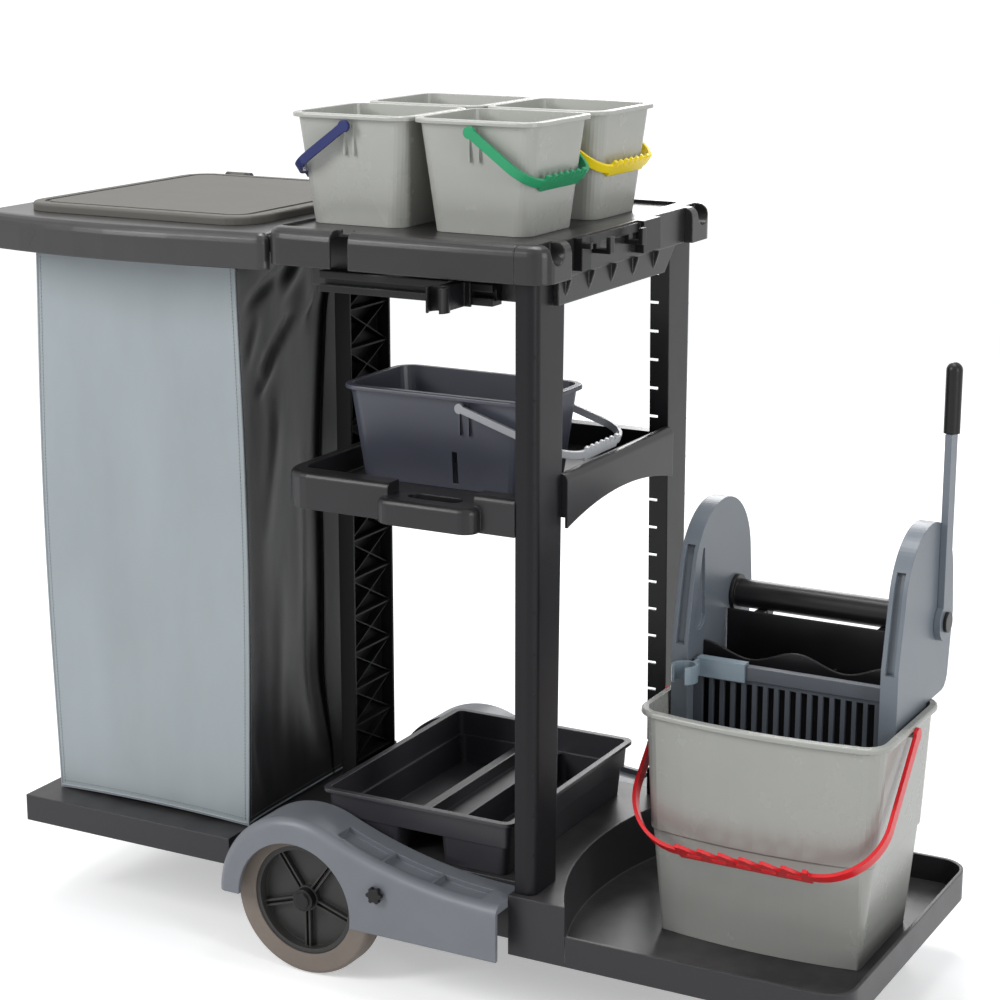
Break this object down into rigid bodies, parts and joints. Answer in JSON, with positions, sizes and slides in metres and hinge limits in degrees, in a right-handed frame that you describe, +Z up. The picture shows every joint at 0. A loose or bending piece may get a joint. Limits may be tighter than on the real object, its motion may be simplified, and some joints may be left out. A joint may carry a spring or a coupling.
{
  "type": "janitor cart",
  "caption": "Janitor cart with a bag frame and lid, shelf tower, small buckets, base tray, large wheels with covers, swivel casters, and a mop bucket with a press wringer.",
  "frame": {"origin": "centre of the footprint, on the floor", "axes": "+X from the waste bag towards the mop bucket, +Y from the pictured side to the far side, +Z up"},
  "size_m": [1.34, 0.5886, 1.1963],
  "materials": {
    "black_plastic": "fine grained black polypropylene",
    "cover_grey": "fine grained mid grey",
    "lid_grey": "fine grained warm grey",
    "bag_fabric": "coated cloth, grey panels and anthracite sides",
    "dark_plastic": "satin anthracite",
    "tyre_rubber": "grey non-marking rubber",
    "tread_rubber": "dark grey non-marking rubber",
    "rim_plastic": "dark grey",
    "plated_steel": "zinc plated",
    "bucket_grey": "satin light grey",
    "slate_plastic": "satin blue grey",
    "pale_plastic": "satin pale grey",
    "wringer_grey": "satin blue grey",
    "blue_plastic": "satin blue",
    "green_plastic": "satin green",
    "yellow_plastic": "satin yellow",
    "red_plastic": "satin red"
  },
  "bodies": {
    "frame": {"base_deck": "black_plastic", "front_wheel_cover": "cover_grey", "rear_wheel_cover": "cover_grey", "cover_knobs": "black_plastic", "front_right_post": "black_plastic", "rear_right_post": "black_plastic", "centre_column": "black_plastic", "top_tray": "black_plastic", "front_corner_cap": "black_plastic", "rear_corner_cap": "black_plastic", "hook_rail": "black_plastic", "front_clip_rail": "black_plastic", "rear_clip_rail": "black_plastic", "bag_frame": "black_plastic", "lid_hinge_pins": "plated_steel", "middle_shelf": "black_plastic", "waste_bag": "bag_fabric", "wheel_axle": "plated_steel", "front_caster_plate": "plated_steel", "rear_caster_plate": "plated_steel"},
    "front_wheel": {"front_wheel_rim": "rim_plastic", "front_tyre": "tyre_rubber", "front_hub_cap": "black_plastic"},
    "rear_wheel": {"rear_wheel_rim": "rim_plastic", "rear_tyre": "tyre_rubber", "rear_hub_cap": "black_plastic"},
    "front_swivel": {"front_caster_fork": "plated_steel", "front_caster_bolt": "plated_steel"},
    "rear_swivel": {"rear_caster_fork": "plated_steel", "rear_caster_bolt": "plated_steel"},
    "front_roller": {"front_caster_wheel": "black_plastic", "front_caster_tread": "tread_rubber"},
    "rear_roller": {"rear_caster_wheel": "black_plastic", "rear_caster_tread": "tread_rubber"},
    "lid": {"bag_lid": "lid_grey"},
    "front_clip": {"front_mop_clip": "black_plastic"},
    "rear_clip": {"rear_mop_clip": "black_plastic"},
    "shelf_pail": {"shelf_bucket": "slate_plastic"},
    "shelf_pail_bail": {"shelf_bucket_bail": "pale_plastic"},
    "tray": {"base_tray": "dark_plastic"},
    "mop_pail": {"mop_bucket": "bucket_grey", "wringer_left_panel": "wringer_grey", "wringer_right_panel": "wringer_grey", "wringer_basket": "wringer_grey", "rim_bracket": "wringer_grey"},
    "mop_pail_bail": {"mop_bucket_bail": "red_plastic"},
    "press": {"press_shaft": "black_plastic", "press_lever": "wringer_grey", "lever_grip": "black_plastic"},
    "plate": {"press_plate": "black_plastic"},
    "pail_front_left": {"bucket_front_left": "bucket_grey"},
    "pail_front_left_bail": {"bail_front_left": "blue_plastic"},
    "pail_front_right": {"bucket_front_right": "bucket_grey"},
    "pail_front_right_bail": {"bail_front_right": "green_plastic"},
    "pail_rear_left": {"bucket_rear_left": "bucket_grey"},
    "pail_rear_left_bail": {"bail_rear_left": "red_plastic"},
    "pail_rear_right": {"bucket_rear_right": "bucket_grey"},
    "pail_rear_right_bail": {"bail_rear_right": "yellow_plastic"}
  },
  "joints": [
    {"name": "front_wheel_roll", "type": "hinge", "parent": "frame", "child": "front_wheel", "pos_m": [-0.13, -0.24, 0.11], "axis": [0, 1, 0], "continuous": true},
    {"name": "front_caster_swivel", "type": "hinge", "parent": "frame", "child": "front_swivel", "pos_m": [0.59, -0.186, 0.085], "axis": [0, 0, 1], "continuous": true},
    {"name": "front_caster_roll", "type": "hinge", "parent": "front_swivel", "child": "front_roller", "pos_m": [0.564, -0.186, 0.0375], "axis": [0, 1, 0], "continuous": true},
    {"name": "front_clip_slide", "type": "slide", "parent": "frame", "child": "front_clip", "axis": [1, 0, 0], "range_m": [-0.19, 0.028]},
    {"name": "rear_wheel_roll", "type": "hinge", "parent": "frame", "child": "rear_wheel", "pos_m": [-0.13, 0.24, 0.11], "axis": [0, 1, 0], "continuous": true},
    {"name": "rear_caster_swivel", "type": "hinge", "parent": "frame", "child": "rear_swivel", "pos_m": [0.59, 0.186, 0.085], "axis": [0, 0, 1], "continuous": true},
    {"name": "rear_caster_roll", "type": "hinge", "parent": "rear_swivel", "child": "rear_roller", "pos_m": [0.564, 0.186, 0.0375], "axis": [0, 1, 0], "continuous": true},
    {"name": "rear_clip_slide", "type": "slide", "parent": "frame", "child": "rear_clip", "axis": [1, 0, 0], "range_m": [-0.19, 0.028]},
    {"name": "lid_hinge", "type": "hinge", "parent": "frame", "child": "lid", "pos_m": [-0.42, 0.227, 1.0505], "axis": [-1, 0, 0], "range_deg": [0, 105]},
    {"name": "pail_front_left_lift", "type": "slide", "parent": "frame", "child": "pail_front_left", "axis": [0, 0, 1], "range_m": [0, 0.15]},
    {"name": "bail_front_left_swing", "type": "hinge", "parent": "pail_front_left", "child": "pail_front_left_bail", "pos_m": [-0.087, -0.0975, 1.1813], "axis": [0, 1, 0], "range_deg": [0, 165]},
    {"name": "pail_front_right_lift", "type": "slide", "parent": "frame", "child": "pail_front_right", "axis": [0, 0, 1], "range_m": [0, 0.15]},
    {"name": "bail_front_right_swing", "type": "hinge", "parent": "pail_front_right", "child": "pail_front_right_bail", "pos_m": [0.101, -0.0975, 1.1813], "axis": [0, -1, 0], "range_deg": [0, 165]},
    {"name": "pail_rear_left_lift", "type": "slide", "parent": "frame", "child": "pail_rear_left", "axis": [0, 0, 1], "range_m": [0, 0.15]},
    {"name": "bail_rear_left_swing", "type": "hinge", "parent": "pail_rear_left", "child": "pail_rear_left_bail", "pos_m": [-0.087, 0.0975, 1.1813], "axis": [0, 1, 0], "range_deg": [0, 165]},
    {"name": "pail_rear_right_lift", "type": "slide", "parent": "frame", "child": "pail_rear_right", "axis": [0, 0, 1], "range_m": [0, 0.15]},
    {"name": "bail_rear_right_swing", "type": "hinge", "parent": "pail_rear_right", "child": "pail_rear_right_bail", "pos_m": [0.101, 0.0975, 1.1813], "axis": [0, -1, 0], "range_deg": [0, 165]},
    {"name": "shelf_pail_lift", "type": "slide", "parent": "frame", "child": "shelf_pail", "axis": [0, 0, 1], "range_m": [0, 0.045]},
    {"name": "shelf_bail_swing", "type": "hinge", "parent": "shelf_pail", "child": "shelf_pail_bail", "pos_m": [0.055, -0.044, 0.8083], "axis": [0, -1, 0], "range_deg": [0, 70]},
    {"name": "base_tray_lift", "type": "slide", "parent": "frame", "child": "tray", "axis": [0, 0, 1], "range_m": [0, 0.3]},
    {"name": "mop_pail_lift", "type": "slide", "parent": "frame", "child": "mop_pail", "axis": [0, 0, 1], "range_m": [0, 0.15]},
    {"name": "mop_bail_swing", "type": "hinge", "parent": "mop_pail", "child": "mop_pail_bail", "pos_m": [0.484, 0.003, 0.4063], "axis": [-1, 0, 0], "range_deg": [0, 125]},
    {"name": "press_lever_turn", "type": "hinge", "parent": "mop_pail", "child": "press", "pos_m": [0.484, 0.133, 0.5253], "axis": [-1, 0, 0], "range_deg": [0, 70]},
    {"name": "press_plate_swing", "type": "hinge", "parent": "mop_pail", "child": "plate", "pos_m": [0.484, 0.062, 0.3563], "axis": [1, 0, 0], "range_deg": [0, 10]}
  ],
  "couplings": [
    {"joint": "press_plate_swing", "follows": "press_lever_turn", "ratio": 0.1428}
  ]
}
